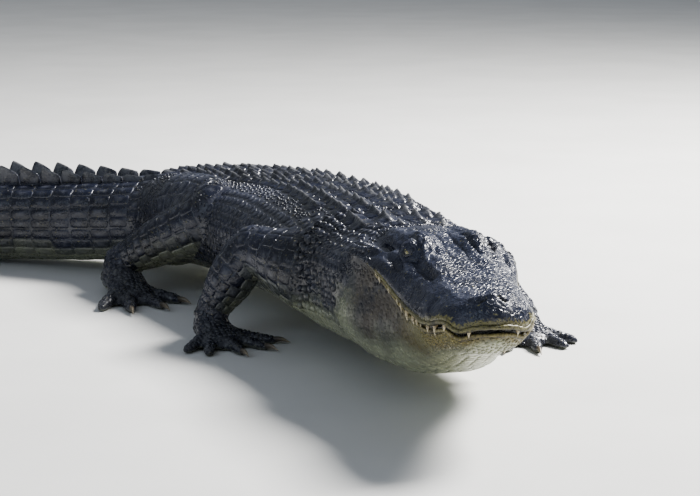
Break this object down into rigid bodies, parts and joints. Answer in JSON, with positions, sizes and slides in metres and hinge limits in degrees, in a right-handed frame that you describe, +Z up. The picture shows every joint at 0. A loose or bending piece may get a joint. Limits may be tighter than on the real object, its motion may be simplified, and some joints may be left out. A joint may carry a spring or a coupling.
{
  "type": "american alligator",
  "caption": "Big adult alligator that walks slowly over flat ground, with its head held up, its trunk bent and its tail along the ground.",
  "frame": {"origin": "on the ground under the middle of the whole animal's bounding box", "axes": "+Z up, +X from the tail towards the head end, +Y completes the right-handed set; the head itself points nearly along -Y"},
  "size_m": [2.0466, 1.5416, 0.24],
  "materials": {
    "dark_skin": "wet blackish scaly skin with keeled bony plates",
    "jaw_skin": "pale yellowish and olive scaly skin",
    "eye": "wet, glossy, olive gold with a slit pupil",
    "claw": "smooth worn horn"
  },
  "bodies": {
    "root": {"head": "dark_skin", "lower_jaw": "jaw_skin", "eye_left": "eye", "eye_right": "eye", "neck": "dark_skin", "chest": "dark_skin", "belly": "dark_skin", "pelvis": "dark_skin", "tail_1": "dark_skin", "tail_2": "dark_skin", "tail_3": "dark_skin", "tail_4": "dark_skin", "tail_tip": "dark_skin", "upper_arm_right": "dark_skin", "forearm_right": "dark_skin", "hand_right": "dark_skin", "claw_hand_right_1": "claw", "claw_hand_right_2": "claw", "claw_hand_right_3": "claw", "upper_arm_left": "dark_skin", "forearm_left": "dark_skin", "hand_left": "dark_skin", "claw_hand_left_1": "claw", "claw_hand_left_2": "claw", "claw_hand_left_3": "claw", "thigh_right": "dark_skin", "shank_right": "dark_skin", "foot_right": "dark_skin", "claw_foot_right_1": "claw", "claw_foot_right_2": "claw", "claw_foot_right_3": "claw", "thigh_left": "dark_skin", "shank_left": "dark_skin", "foot_left": "dark_skin", "claw_foot_left_1": "claw", "claw_foot_left_2": "claw", "claw_foot_left_3": "claw"}
  },
  "joints": []
}
